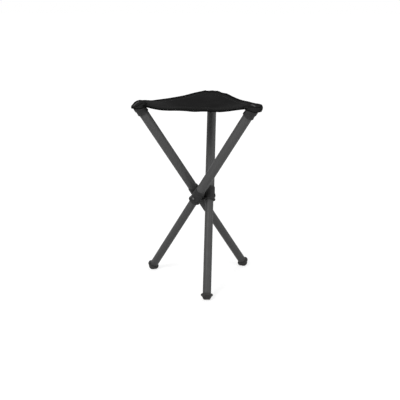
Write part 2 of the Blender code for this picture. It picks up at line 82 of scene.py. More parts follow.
# Small helpers for node trees. A shader node goes by its short name.
def addNode(tree, kind, links=None, **settings):
    node = tree.nodes.new(kind if "Node" in kind else "ShaderNode" + kind)
    for key, value in settings.items():
        setattr(node, key, value)
    for key, value in (links or {}).items():
        if isinstance(value, bpy.types.NodeSocket):
            tree.links.new(value, node.inputs[key])
        else:
            node.inputs[key].default_value = value
    return node


def mathNode(tree, operation, *values):
    return addNode(tree, "Math", dict(enumerate(values)), operation=operation).outputs[0]


# Sum of masks, each times its weight
def weighted(tree, *terms):
    parts = [mathNode(tree, "MULTIPLY", mask, weight) for mask, weight in terms]
    total = parts[0]
    for part in parts[1:]:
        total = mathNode(tree, "ADD", total, part)
    return total


def noiseNode(tree, spot, scale, detail, roughness=0.5):
    links = {"Vector": spot, "Scale": scale, "Detail": detail, "Roughness": roughness}
    return addNode(tree, "TexNoise", links).outputs["Fac"]


def objectSpot(tree):
    return addNode(tree, "TexCoord").outputs["Object"]


def clothSpot(tree):
    return addNode(tree, "UVMap", uv_map="clothMap").outputs[0]


def addSocket(tree, label, kind, way="INPUT", value=None):
    socket = tree.interface.new_socket(label, in_out=way, socket_type="NodeSocket" + kind)
    if value is not None:
        socket.default_value = value


# A group takes a Vector and some values, and puts out values
def newGroup(name, values, outputs):
    group = bpy.data.node_groups.new(name, "ShaderNodeTree")
    addSocket(group, "Vector", "Vector")
    for label, value in values.items():
        addSocket(group, label, "Float", value=value)
    for label in outputs:
        addSocket(group, label, "Float", "OUTPUT")
    return group, addNode(group, "NodeGroupInput").outputs, addNode(group, "NodeGroupOutput").inputs


def useGroup(tree, group, links):
    return addNode(tree, "Group", links, node_tree=group).outputs


# Soft blotches between two levels, for colour and roughness
def makeMottle():
    group, given, put = newGroup("mottle", {"Scale": 40.0, "Low": 0.0, "High": 1.0}, ["Value"])
    cloud = noiseNode(group, given["Vector"], given["Scale"], 4.0, 0.55)
    level = addNode(group, "MapRange", {"Value": cloud, "From Min": 0.3, "From Max": 0.7,
                                        "To Min": given["Low"], "To Max": given["High"]})
    group.links.new(level.outputs["Result"], put["Value"])
    return group


# Fine lines along Z, as a drawn and anodised tube has
def makeDrawnGrain():
    group, given, put = newGroup("drawnGrain", {"Lines": 900.0, "Stretch": 0.012}, ["Value"])
    lines = given["Lines"]
    alongLeg = mathNode(group, "MULTIPLY", lines, given["Stretch"])
    scale = addNode(group, "CombineXYZ", {"X": lines, "Y": lines, "Z": alongLeg})
    spot = addNode(group, "VectorMath", {0: given["Vector"], 1: scale.outputs[0]}, operation="MULTIPLY")
    group.links.new(noiseNode(group, spot.outputs[0], 1.0, 3.0, 0.6), put["Value"])
    return group


# Sparse marks where handling has rubbed the finish
def makeRubMarks():
    group, given, put = newGroup("rubMarks", {"Scale": 120.0, "Amount": 0.1}, ["Mask"])
    fine = noiseNode(group, given["Vector"], given["Scale"], 6.0, 0.7)
    broad = noiseNode(group, given["Vector"], mathNode(group, "MULTIPLY", given["Scale"], 0.12), 2.0)
    edge = mathNode(group, "SUBTRACT", 0.5, mathNode(group, "MULTIPLY", given["Amount"], 0.5))
    mask = addNode(group, "MapRange", {"Value": mathNode(group, "MULTIPLY", fine, broad),
                                       "From Min": mathNode(group, "SUBTRACT", edge, 0.12), "From Max": edge})
    group.links.new(mask.outputs["Result"], put["Mask"])
    return group


# Plain weave: warp and weft take turns on top, each thread an arch
def makeWeave():
    group, given, put = newGroup("plainWeave", {"Pitch": 0.0009}, ["Height", "Thread"])
    parts = addNode(group, "SeparateXYZ", {0: given["Vector"]}).outputs
    sides = [mathNode(group, "DIVIDE", parts[axis], given["Pitch"]) for axis in (0, 1)]
    turns = [mathNode(group, "MULTIPLY", mathNode(group, "FRACT", side), pi) for side in sides]
    arches = [mathNode(group, "SINE", angle) for angle in turns]
    count = mathNode(group, "ADD", *(mathNode(group, "FLOOR", side) for side in sides))
    checker = mathNode(group, "FLOORED_MODULO", count, 2.0)
    soft = [mathNode(group, "POWER", arch, 0.6) for arch in arches]
    lift = [mathNode(group, "MULTIPLY_ADD", arch, 0.45, 0.55) for arch in reversed(arches)]
    warp, weft = (mathNode(group, "MULTIPLY", a, b) for a, b in zip(soft, lift))
    height = addNode(group, "Mix", {0: checker, 2: warp, 3: weft}, data_type="FLOAT")
    group.links.new(height.outputs[0], put["Height"])
    group.links.new(checker, put["Thread"])
    return group


mottle, drawnGrain, rubMarks, plainWeave = makeMottle(), makeDrawnGrain(), makeRubMarks(), makeWeave()


def newFinish(name, **plain):
    material = bpy.data.materials.new(name)
    material.use_nodes = True
    tree = material.node_tree
    shader = tree.nodes["Principled BSDF"]
    for label, value in plain.items():
        shader.inputs[label.replace("_", " ")].default_value = value
    return material, tree


def intoShader(tree, output, label):
    tree.links.new(output, tree.nodes["Principled BSDF"].inputs[label])


def mottled(tree, spot, scale, low=0.0, high=1.0):
    return useGroup(tree, mottle, {"Vector": spot, "Scale": scale, "Low": low, "High": high})["Value"]


def rubbed(tree, spot, scale, amount):
    return useGroup(tree, rubMarks, {"Vector": spot, "Scale": scale, "Amount": amount})["Mask"]


# Colour between two tones by a mask, and roughness in soft blotches
def paint(tree, mask, dark, light, spot, *rough):
    mix = addNode(tree, "Mix", {0: mask}, data_type="RGBA", clamp_factor=False)
    mix.inputs[6].default_value, mix.inputs[7].default_value = (*dark, 1), (*light, 1)
    intoShader(tree, mix.outputs[2], "Base Color")
    intoShader(tree, mottled(tree, spot, *rough), "Roughness")


def relief(tree, height, strength, distance):
    bump = addNode(tree, "Bump", {"Height": height, "Strength": strength, "Distance": distance})
    intoShader(tree, bump.outputs[0], "Normal")


def grey(value, warm=0.0):
    return (value * (1 + warm), value, value * (1 - warm))


# Satin anodised tube, its grain along the leg
def tubeFinish(name, tone, rough):
    material, tree = newFinish(name, Metallic=0.2, Specular_IOR_Level=0.25)
    spot = addNode(tree, "Attribute", attribute_name="legPoint").outputs["Vector"]
    grain = useGroup(tree, drawnGrain, {"Vector": spot, "Lines": 1400.0, "Stretch": 0.01})["Value"]
    shade = weighted(tree, (grain, 0.7), (rubbed(tree, spot, 220.0, 0.22), 0.3))
    paint(tree, shade, grey(tone * 0.86), grey(tone * 1.16), spot, 60.0, rough - 0.05, rough + 0.06)
    relief(tree, grain, 0.06, 0.0002)
    return material


# Moulded plastic with a fine spark-eroded grain
def plasticFinish(name, tone, rough, warm=0.0):
    material, tree = newFinish(name, Specular_IOR_Level=0.2)
    spot = objectSpot(tree)
    pits = noiseNode(tree, spot, 2600.0, 2.0)
    shade = weighted(tree, (pits, 0.5), (rubbed(tree, spot, 260.0, 0.2), 0.4))
    paint(tree, shade, grey(tone * 0.85, warm), grey(tone * 1.2, warm), spot, 90.0, rough - 0.06, rough + 0.08)
    relief(tree, pits, 0.25, 0.00015)
    return material


# Rubber: matt, dusty in patches
def rubberFinish(name, tone):
    material, tree = newFinish(name, Specular_IOR_Level=0.25)
    spot = objectSpot(tree)
    dust = rubbed(tree, spot, 140.0, 0.35)
    paint(tree, dust, grey(tone, 0.01), grey(tone * 1.5, 0.03), spot, 120.0, 0.68, 0.88)
    relief(tree, noiseNode(tree, spot, 1500.0, 3.0), 0.2, 0.0002)
    return material


# Turned steel
def steelFinish(name, tone, rough):
    material, tree = newFinish(name, Metallic=1.0)
    spot = objectSpot(tree)
    rub = rubbed(tree, spot, 500.0, 0.3)
    paint(tree, rub, grey(tone), grey(tone * 0.8), spot, 400.0, rough - 0.06, rough + 0.08)
    return material


# Woven polyester: thread arches and faded patches, and on the seat a painted sheen in paler streaks from the corners
def clothFinish(name, tone, pitch, mapped=False, paintedSheenAmount=0.0):
    material, tree = newFinish(name, Specular_IOR_Level=0.0)
    spot = clothSpot(tree) if mapped else objectSpot(tree)
    weave = useGroup(tree, plainWeave, {"Vector": spot, "Pitch": pitch})
    faded = mottled(tree, objectSpot(tree), 22.0)
    terms = [(weave["Height"], 0.75), (faded, 0.35), (weave["Thread"], 0.08)]
    if paintedSheenAmount:  # painted sheen: the cloth is coloured paler in streaks towards the corners
        paintedSheenMask = addNode(tree, "Attribute", attribute_name="paintedSheen").outputs["Fac"]
        terms.append((paintedSheenMask, paintedSheenAmount))
    paint(tree, weighted(tree, *terms), grey(tone * 0.55), grey(tone * 1.35), spot, 300.0, 0.86, 0.98)
    relief(tree, weave["Height"], 0.4, 0.0003)
    return material


# Ribbed tape and sewing thread
def tapeFinish(name, tone, ribs):
    material, tree = newFinish(name, Specular_IOR_Level=0.0)
    spot = clothSpot(tree)
    along = addNode(tree, "SeparateXYZ", {0: spot}).outputs[0]
    rib = mathNode(tree, "ABSOLUTE", mathNode(tree, "SINE", mathNode(tree, "MULTIPLY", along, pi / ribs)))
    fuzz = mathNode(tree, "MULTIPLY_ADD", mottled(tree, spot, 500.0), 0.4, 0.6)
    shade = mathNode(tree, "MULTIPLY", rib, fuzz)
    paint(tree, shade, grey(tone * 0.6), grey(tone * 1.3), spot, 90.0, 0.84, 0.96)
    relief(tree, rib, 0.5, 0.0003)
    return material


def threadFinish(name, tone):
    material, tree = newFinish(name, Specular_IOR_Level=0.3)
    spot = objectSpot(tree)
    fibre = noiseNode(tree, spot, 4000.0, 2.0)
    paint(tree, fibre, grey(tone * 0.7), grey(tone * 1.3), spot, 800.0, 0.55, 0.75)
    relief(tree, fibre, 0.4, 0.0002)
    return material


finish = {
    "upperTube": tubeFinish("satinTubeUpper", 0.059, 0.56),
    "lowerTube": tubeFinish("satinTubeLower", 0.053, 0.56),
    "hub": plasticFinish("hubPlastic", 0.018, 0.58),
    "core": plasticFinish("corePlastic", 0.009, 0.6),
    "collar": plasticFinish("collarPlastic", 0.019, 0.6),
    "bush": plasticFinish("bushNylon", 0.55, 0.5, warm=0.03),
    "foot": rubberFinish("footRubber", 0.0205),
    "steel": steelFinish("brightSteel", 0.62, 0.26),
    "button": steelFinish("dullSteel", 0.115, 0.42),
    "seat": clothFinish("seatWeave", 0.0145, 0.0009, paintedSheenAmount=0.8),
    "pocket": clothFinish("pocketWeave", 0.0155, 0.0009, mapped=True),
    "tape": tapeFinish("edgeTape", 0.0048, 0.0012),
    "tab": tapeFinish("greyTab", 0.075, 0.0009),
    "thread": threadFinish("seatThread", 0.015),
}
print("finishes made:", len(finish))


# Mesh helpers. Outlines are (radius, height, rounding) in millimetres along a leg's Z.
def eased(points, steps=4):
    count, line = len(points), []
    for k, (r, z, easing) in enumerate(points):
        corner = Vector((r, z))
        back, ahead = Vector(points[k - 1][:2]) - corner, Vector(points[(k + 1) % count][:2]) - corner
        if easing == 0 or back.length < 1e-6 or ahead.length < 1e-6:
            line.append((r, z))
            continue
        half = back.angle(ahead) / 2
        reach = min(easing / tan(half), 0.48 * back.length, 0.48 * ahead.length)
        radius = reach * tan(half)
        middle = corner + (back.normalized() + ahead.normalized()).normalized() * (radius / sin(half))
        first, last = corner + back.normalized() * reach - middle, corner + ahead.normalized() * reach - middle
        line += [tuple(middle + first.lerp(last, j / steps).normalized() * radius) for j in range(steps + 1)]
    return line


def turnedShape(outline, steps=96, loop=True):
    bm, rings = bmesh.new(), []
    turns = [2 * pi * k / steps for k in range(steps)]
    for r, z in outline:
        if r < 1e-6:
            rings.append([bm.verts.new((0, 0, z * mm))])
        else:
            rings.append([bm.verts.new((r * mm * cos(a), r * mm * sin(a), z * mm)) for a in turns])
    for a, b in zip(rings, rings[1:] + (rings[:1] if loop else [])):
        for k in range(steps):
            n = (k + 1) % steps
            corners = [a[k % len(a)], a[n % len(a)], b[n % len(b)], b[k % len(b)]]
            corners = [v for j, v in enumerate(corners) if v not in corners[:j]]
            if len(corners) > 2:
                bm.faces.new(corners)
    bmesh.ops.recalc_face_normals(bm, faces=bm.faces)
    return bm


# A turned solid that points along X, across the leg
def crossPin(points, steps=4, sides=48, shift=0.0):
    bm = turnedShape(eased(points, steps), sides, False)
    bm.transform(Matrix.Translation((shift, 0, 0)) @ Matrix.Rotation(pi / 2, 4, "Y"))
    return bm


def boxShape(size, place):
    bm = bmesh.new()
    bmesh.ops.create_cube(bm, size=1.0, matrix=place @ Matrix.Diagonal((*[s * mm for s in size], 1)))
    return bm


def looseObject(name, bm):
    mesh = bpy.data.meshes.new(name)
    bm.to_mesh(mesh)
    bm.free()
    obj = bpy.data.objects.new(name, mesh)
    scene.collection.objects.link(obj)
    return obj


# Turns what the modifiers give into the object's own mesh
def settle(obj):
    bpy.context.view_layer.update()
    made = bpy.data.meshes.new_from_object(obj.evaluated_get(bpy.context.evaluated_depsgraph_get()))
    old, name = obj.data, obj.data.name
    obj.modifiers.clear()
    obj.data = made
    bpy.data.meshes.remove(old)
    made.name = name


# Joins and cuts a shape with others, and hands back the finished object
def shaped(name, bm, tools=()):
    obj, helpers = looseObject(name, bm), []
    for operation, tool in tools:
        helper = looseObject(name + "Tool", tool)
        helpers.append(helper)
        step = obj.modifiers.new(operation, "BOOLEAN")
        step.operation, step.solver, step.object = operation, "EXACT", helper
    if tools:
        settle(obj)
    for helper in helpers:
        bpy.data.objects.remove(helper)
    return obj


def finishMesh(obj, look, sharp=32):
    mesh = obj.data
    mesh.materials.clear()
    mesh.materials.append(finish[look])
    mesh.polygons.foreach_set("use_smooth", [True] * len(mesh.polygons))
    mesh.set_sharp_from_angle(angle=radians(sharp))
    mesh.update()


# Gives a leg piece its grain coordinates, its place, finish and body
def dress(obj, leg, body, look, node):
    mesh = obj.data
    points = mesh.attributes.new("legPoint", "FLOAT_VECTOR", "POINT")
    points.data.foreach_set("vector", [c for v in mesh.vertices for c in v.co])
    mesh.transform(leg["place"])
    finishMesh(obj, look)
    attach(obj, leg[body])
    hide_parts(f"{node}_{leg['number']}")


# Tubes
tube = {"upperRadius": 12.4, "lowerRadius": 10.8, "wall": 1.2, "upperLow": -8.7, "upperTop": 288.0,
        "lowerLow": -264.7, "lowerTop": 36.0, "hole": 2.9, "easing": 0.35, "innerEasing": 0.2}


def makeTube(name, radius, low, top):
    inner, outside, inside = radius - tube["wall"], tube["easing"], tube["innerEasing"]
    wall = eased([(inner, low, inside), (radius, low, outside), (radius, top, outside), (inner, top, inside)], 3)
    deep, proud, hole = radius / 2, radius + 2, tube["hole"]
    cut = crossPin([(0, deep, 0), (hole, deep, 0), (hole, proud, 0), (0, proud, 0)], sides=24)
    return shaped(name, turnedShape(wall), [("DIFFERENCE", cut)])


for leg in legs:
    n = leg["number"]
    for part in ("upper", "lower"):
        made = makeTube(f"{part}Tube_{n}", tube[part + "Radius"], tube[part + "Low"], tube[part + "Top"])
        dress(made, leg, part, part + "Tube", part + "_tube")
print("tubes made")

# Hub sleeve: lip below, two moulded grooves, chamfer above, pivot stub inwards and button boss outwards
sleeve = {"radius": 14.25, "lip": 16.0, "low": -13.0, "top": 24.0, "lipHeight": 3.6, "floor": 4.0, "bore": 12.7,
          "guide": 11.1, "chamfer": 2.6, "chamferShare": 0.62, "grooves": (15.5, 18.0), "grooveDepth": 0.45,
          "stub": 4.2, "stubPad": 7.2, "flange": 5.3, "flangeFrom": 3.7, "flangeTo": 5.5, "padFace": 7.8,
          "boss": 5.4, "bossFace": 15.6, "bossWall": 1.1, "buttonHole": 3.2, "buttonRoom": 4.2, "sunk": 0.35,
          "cutter": (20, 60, 90)}


def makeSleeve(name):
    s = sleeve
    radius, bore, guide, low, top, face = (s[key] for key in ("radius", "bore", "guide", "low", "top", "bossFace"))
    lipTop, base, rim = low + s["lipHeight"], low + s["floor"], bore + (radius - bore) * s["chamferShare"]
    grooves = []
    for z in s["grooves"]:
        for depth, rise in ((0, -0.5), (s["grooveDepth"], -0.2), (s["grooveDepth"], 0.2), (0, 0.5)):
            grooves.append((radius - depth, z + rise, 0.15))
    body = turnedShape(eased([
        (guide, low, 0.3), (s["lip"], low, 0.8), (s["lip"], lipTop, 0.8), (radius, lipTop + 0.7, 0.6), *grooves,
        (radius, top - s["chamfer"], 0.8), (rim, top, 0.4), (bore, top, 0.2), (bore, base, 0), (guide, base, 0)], 3))
    inside = s["padFace"] - pivotReach - s["cutter"][0] / 2
    innerSide = boxShape(s["cutter"], Matrix.Translation((inside * mm, 0, 0)))
    root = (bore + radius) / 2 - s["sunk"]
    back = pivotReach - root
    stub = crossPin([
        (0, s["flangeFrom"], 0), (s["flange"], s["flangeFrom"], 0.3), (s["flange"], s["flangeTo"], 0.3),
        (s["stub"], s["flangeTo"], 0), (s["stub"], s["padFace"], 0), (s["stubPad"], s["padFace"], 0.3),
        (s["stubPad"], back, 0), (0, back, 0)], 2, shift=-pivotRadius)
    boss = crossPin([(0, root, 0), (s["boss"], root, 0), (s["boss"], face, 0.8), (0, face, 0)])
    step, end, deep, hole, room = face - s["bossWall"], face + 1, tube["lowerRadius"], s["buttonHole"], s["buttonRoom"]
    bored = crossPin([(0, deep, 0), (room, deep, 0), (room, step, 0), (hole, step, 0),
                      (hole, face - 0.3, 0), (hole + 0.6, end, 0), (0, end, 0)])
    return shaped(name, body, [("DIFFERENCE", innerSide), ("UNION", stub), ("UNION", boss), ("DIFFERENCE", bored)])


# Release button: a domed steel cap with a flange that the boss traps
button = {"radius": 2.9, "proud": 0.8, "dome": 1.3, "flange": 3.9, "flangeHeight": 0.6, "nose": 2.6, "back": 12.4,
          "play": 0.3}


def makeButton(name):
    b, dome = button, button["dome"]
    face, tip = sleeve["bossFace"] - sleeve["bossWall"] - b["play"], sleeve["bossFace"] + b["proud"]
    under = face - b["flangeHeight"]
    line = [(0, b["back"]), (b["nose"], b["back"]), (b["nose"], under), (b["flange"], under), (b["flange"], face),
            (b["radius"], face)]
    for angle in (pi / 2 * k / 8 for k in range(8)):
        line.append((b["radius"] * cos(angle), tip - dome + dome * sin(angle)))
    return shaped(name, crossPin([(r, z, 0) for r, z in line + [(0, tip)]]))


# Corner fitting: collar and rounded head on the upper tube's end
fitting = {"collarLow": 273.0, "lip": 14.8, "collar": 14.3, "headLow": 285.0, "head": 15.8, "headTop": 298.8,
           "round": 8.5, "bore": 12.7, "floor": 288.3}


def makeFitting(name):
    f = fitting
    low, top = f["collarLow"], f["headTop"]
    return shaped(name, turnedShape(eased([
        (0, f["floor"], 0), (f["bore"], f["floor"], 0), (f["bore"], low, 0.3), (f["lip"], low, 0.5),
        (f["lip"], low + 2.0, 0.5), (f["collar"], low + 2.8, 0.4), (f["collar"], f["headLow"] - 1.2, 0.5),
        (f["head"], f["headLow"] + 0.7, 0.5), (f["head"], top, f["round"]), (0, top, 0)], 5), 96, False))


# Rubber foot: plug in the tube, rounded flange, nose with two tread grooves, cut flat by the floor
foot = {"centre": -264.2, "plug": 9.3, "plugTop": 14.0, "plugLow": -0.8, "socket": 11.1, "top": 4.0, "lip": 12.1,
        "flange": 15.4, "rim": 2.2, "neck": 12.8, "nose": 8.6, "noseEnd": 11.1, "groove": 0.5, "grooves": (0.38, 0.68),
        "cutter": (80, 80, 20)}


def makeFoot(name, leg):
    f = foot
    plug, socket, flange, rim, neck, nose, end, groove = (
        f[key] for key in ("plug", "socket", "flange", "rim", "neck", "nose", "noseEnd", "groove"))
    tread = []
    for share in f["grooves"]:
        r, z = neck + (nose + 0.5 - neck) * share, -rim - 0.8 + (rim + 0.8 - end + 1) * share
        tread += [(r + 0.25, z + 0.55, 0.15), (r - groove, z + 0.2, 0.15), (r - groove - 0.2, z - 0.2, 0.15),
                  (r - 0.25, z - 0.55, 0.15)]
    line = eased([
        (0, f["plugTop"], 0), (plug, f["plugTop"], 0.8), (plug, f["plugLow"], 0), (socket, f["plugLow"], 0),
        (socket, f["top"], 0), (f["lip"], f["top"], 0.4), (flange - 0.9, rim + 0.7, 0.6),
        (flange, rim / 2 + 0.6, 0.8), (flange, -rim / 2, 0.9), (flange - 0.9, -rim, 0.6), (neck, -rim - 0.8, 0.5),
        *tread, (nose + 0.5, -end + 1, 0.5), (nose, -end, 0.5), (0, -end, 0)], 3)
    bm = turnedShape([(r, z + f["centre"]) for r, z in line], 96, False)
    floorCut = boxShape(f["cutter"], Matrix.Identity(4))
    tip = leg["place"] @ Vector((0, 0, (f["centre"] - end) * mm))
    floorCut.transform(leg["place"].inverted() @ Matrix.Translation((tip.x, tip.y, -f["cutter"][2] / 2 * mm)))
    return shaped(name, bm, [("DIFFERENCE", floorCut)])


for leg in legs:
    n = leg["number"]
    dress(makeSleeve(f"hubSleeve_{n}"), leg, "upper", "hub", "hub_sleeve")
    dress(makeButton(f"releaseButton_{n}"), leg, "button", "button", "release_button")
    dress(makeFitting(f"cornerFitting_{n}"), leg, "upper", "collar", "corner_fitting")
    dress(makeFoot(f"rubberFoot_{n}", leg), leg, "lower", "foot", "rubber_foot")
print("hub sleeves, buttons, fittings and feet made")

# CAD nodes that stay as they are
kept = {"hub_core_lower": "core", "hub_core_upper": "core", "hub_screw": "steel", "hub_nut": "steel"}
for leg in legs:
    kept[f"guide_bush_{leg['number']}"] = "bush"
    kept[f"lock_clip_{leg['number']}"] = "steel"
for node, look in kept.items():
    obj = frame["nodes"][node]
    obj.data.materials.clear()
    obj.data.materials.append(finish[look])
print("kept from the frame:", len(kept))

# Cloth seat. Plan and heights in millimetres from the hub's pivot point.
seat = {"level": 256.4, "thickness": 1.3, "corner": 158.0, "cornerHalf": 17.5, "edgePull": (5.5, 4.0, 1.0),
        "pullFlatness": (2.0, 3.2, 2.0), "middleSag": 17.0, "edgeSteps": 72, "cornerSteps": 10, "rings": 36,
        "drape": 0.7, "drapeScale": 0.022, "drapeSlice": 3.7, "tuck": 16.6, "tuckLeast": 0.8,
        "tuckStep": 0.004, "drapeEnd": 0.9,
        # how far each edge hangs, in even steps: rear corner to left, left to right, right to rear
        "edgeSag": ((1.6, 2.0, 2.4, 3.2, 4.6, 5.3, 5.5, 5.6, 5.4, 5.0, 4.6, 1.4, 0.4),
                    (7.0, 12.0, 15.6, 16.6, 16.0, 16.2, 17.4, 16.0, 15.8, 15.9, 13.1, 9.3, 6.5),
                    (-1.6, -0.4, 0.3, 1.7, 2.8, 3.2, 2.9, 2.4, 1.4, 0.9, 2.6, 3.4, 2.8))}
cornerFolds = {"height": 1.1, "reach": 130.0, "apex": 34.0, "strongest": 34.0, "spread": 40.0, "count": 15,
               "phase": 0.9, "phaseStep": 1.7, "end": 0.86}
frontRoll = {"height": 6.0, "width": 24.0, "outside": -6.0, "fade": 3.4, "ends": 0.6}

pairs = []  # the two ends of each corner's short side
for k in range(3):
    out = Matrix.Rotation(radians(120 * k), 3, "Z") @ Vector((pivotReach, seat["corner"], 0))
    side = upward.cross(out.normalized()) * seat["cornerHalf"]
    pairs.append((out - side, out + side))
cornerWays = [(a + b).normalized() for a, b in pairs]


# Smooth curve through evenly spaced values
def alongTable(table, share):
    last = len(table) - 1
    at = min(max(share, 0.0), 1.0) * last
    k = min(int(at), last - 1)
    t = at - k
    a, b, c, d = (table[min(max(k + step, 0), last)] for step in (-1, 0, 1, 2))
    return b + 0.5 * t * (c - a + t * (2 * a - 5 * b + 4 * c - d + t * (3 * (b - c) + d - a)))


def edgePoint(number, share):
    start, end = pairs[number][1], pairs[(number + 1) % 3][0]
    along = end - start
    outwards = along.cross(upward).normalized()
    curve = 1 - abs(2 * share - 1) ** seat["pullFlatness"][number]
    point = start + along * share - outwards * seat["edgePull"][number] * curve
    point.z = seat["level"] - alongTable(seat["edgeSag"][number], share)
    return point, outwards


def alongEdge(number, fromShare, toShare, steps):
    return [edgePoint(number, fromShare + (toShare - fromShare) * j / steps) for j in range(steps + 1)]


# The rim runs round the seat: corner 1, edge to corner 2, and so on
rim = []
for k in range(3):
    before, after = edgePoint((k + 2) % 3, 1.0)[0], edgePoint(k, 0.0)[0]
    rim += [before.lerp(after, j / seat["cornerSteps"]) for j in range(seat["cornerSteps"])]
    rim += [edgePoint(k, j / seat["edgeSteps"])[0] for j in range(seat["edgeSteps"])]
sectorLength = seat["cornerSteps"] + seat["edgeSteps"]
rimTable = sorted((atan2(p.y, p.x), hypot(p.x, p.y), p.z) for p in rim)


# Reach and height of the rim in one direction
def rimAt(angle):
    k = bisect(rimTable, angle, key=lambda row: row[0]) % len(rimTable)
    a, b = rimTable[k - 1], rimTable[k]
    share = (angle - a[0]) % (2 * pi) / max((b[0] - a[0]) % (2 * pi), 1e-9)
    return a[1] + (b[1] - a[1]) * share, a[2] + (b[2] - a[2]) * share


frontStart = pairs[1][1]
frontLine = pairs[2][0] - frontStart
frontAlong = frontLine.normalized()


def ramp(value, low, high):
    t = min(1.0, max(0.0, (value - low) / (high - low)))
    return t * t * (3 - 2 * t)


# Height of the cloth: a dish, with folds that fan out from the corners and a roll behind the front edge
def seatHeight(x, y):
    reach, rimHeight = rimAt(atan2(y, x))
    share = min(1.0, hypot(x, y) / reach)
    middle = seat["level"] - seat["middleSag"]
    z = middle + (rimHeight - middle) * share ** 2
    f = cornerFolds
    for k, out in enumerate(cornerWays):
        back, across = seat["corner"] + 2 - (x * out.x + y * out.y), out.x * y - out.y * x
        if back < f["reach"]:
            fan = atan2(across, back + f["apex"])
            strength = exp(-((back - f["strongest"]) / f["spread"]) ** 2) * (1 - ramp(share, f["end"], 1.0))
            z += f["height"] * strength * cos(fan * (f["count"] + 2 * k) + f["phase"] + f["phaseStep"] * k)
    away, width = Vector((x, y, 0)) - frontStart, frontRoll["width"]
    run, inside = away.dot(frontAlong) / frontLine.length, frontAlong.cross(away).z
    if 0 < run < 1:
        rolled = ramp(inside, frontRoll["outside"], width) * (1 - ramp(inside, width, frontRoll["fade"] * width))
        z += frontRoll["height"] * rolled * sin(pi * run) ** frontRoll["ends"]
    spot = Vector((x * seat["drapeScale"], y * seat["drapeScale"], seat["drapeSlice"]))
    return z + seat["drape"] * noise.noise(spot) * (1 - ramp(share, seat["drapeEnd"], 1.0))


def seatPlace(x, y, lift=0.0):
    return hubPoint + Vector((x, y, seatHeight(x, y) + lift)) * mm


# The ends of a line for each third of the seat, along its leg from near the middle to well before the corner, are
# worked out but not used; the piece's placement is applied to its mesh
follow = {"turn": -10.0, "span": (-15.0, 100.0)}


def followLeg(obj, k):
    lead = Matrix.Rotation(radians(follow["turn"]), 3, "Z") @ cornerWays[k]
    ends = [tuple(hubPoint + (lead * reach + upward * seat["level"]) * mm) for reach in follow["span"]]
    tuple(ends[0])
    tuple(ends[1])
    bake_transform(obj)


def surfaceFrom(grid, closedRows=False, mapping=None):
    bm = bmesh.new()
    verts = [[bm.verts.new(p) for p in row] for row in grid]
    layer = bm.loops.layers.uv.new("clothMap") if mapping else None
    rows, columns = len(grid), len(grid[0])
    for i in range(rows - 1):
        for j in range(columns if closedRows else columns - 1):
            n = (j + 1) % columns
            face = bm.faces.new((verts[i][j], verts[i][n], verts[i + 1][n], verts[i + 1][j]))
            if layer:
                for loop, (a, b) in zip(face.loops, ((i, j), (i, j + 1), (i + 1, j + 1), (i + 1, j))):
                    loop[layer].uv = mapping(i, a, b)
    bm.verts.ensure_lookup_table()
    return bm


# Turns a sheet face up and gives it its thickness below
def sheetObject(name, bm, thickness, look, sharp):
    bmesh.ops.recalc_face_normals(bm, faces=bm.faces)
    if sum(f.normal.z * f.calc_area() for f in bm.faces) < 0:
        bmesh.ops.reverse_faces(bm, faces=bm.faces)
    area = sum(f.calc_area() for f in bm.faces)
    obj = looseObject(name, bm)
    thick = obj.modifiers.new("thickness", "SOLIDIFY")
    thick.thickness, thick.offset = thickness * mm, -1.0
    settle(obj)
    finishMesh(obj, look, sharp)
    return obj, area


# Length of the line up to each of its points
def runOf(points):
    run = [0.0]
    for a, b in zip(points, points[1:]):
        run.append(run[-1] + (b - a).length)
    return run


# A round bead of cloth along a line of points
def beadAlong(points, radius, closed=False, sides=10):
    count, grid = len(points), []
    turns = [2 * pi * j / sides for j in range(sides)]
    for k, point in enumerate(points):
        ahead = points[(k + 1) % count] if closed or k < count - 1 else point
        behind = points[k - 1] if closed or k else point
        along = (ahead - behind).normalized()
        side = along.cross(upward).normalized()
        top = side.cross(along)
        grid.append([point + (side * cos(a) + top * sin(a)) * radius * mm for a in turns])
    run = runOf(points + points[:1])
    if closed:
        grid.append(grid[0])
    bm = surfaceFrom(grid, True, lambda row, i, j: (run[i], j / sides * radius * 6 * mm))
    if closed:
        bmesh.ops.remove_doubles(bm, verts=bm.verts, dist=1e-7)
    else:
        near = radius * 1.2 * mm
        for end in (points[0], points[-1]):
            ring = [e for e in bm.edges if e.is_boundary and all((v.co - end).length < near for v in e.verts)]
            bmesh.ops.contextual_create(bm, geom=ring)
    bmesh.ops.recalc_face_normals(bm, faces=bm.faces)
    return bm


def joinShapes(shapes):
    whole = bmesh.new()
    for bm in shapes:
        piece = bpy.data.meshes.new("joining")
        bm.to_mesh(piece)
        bm.free()
        whole.from_mesh(piece)
        bpy.data.meshes.remove(piece)
    return whole


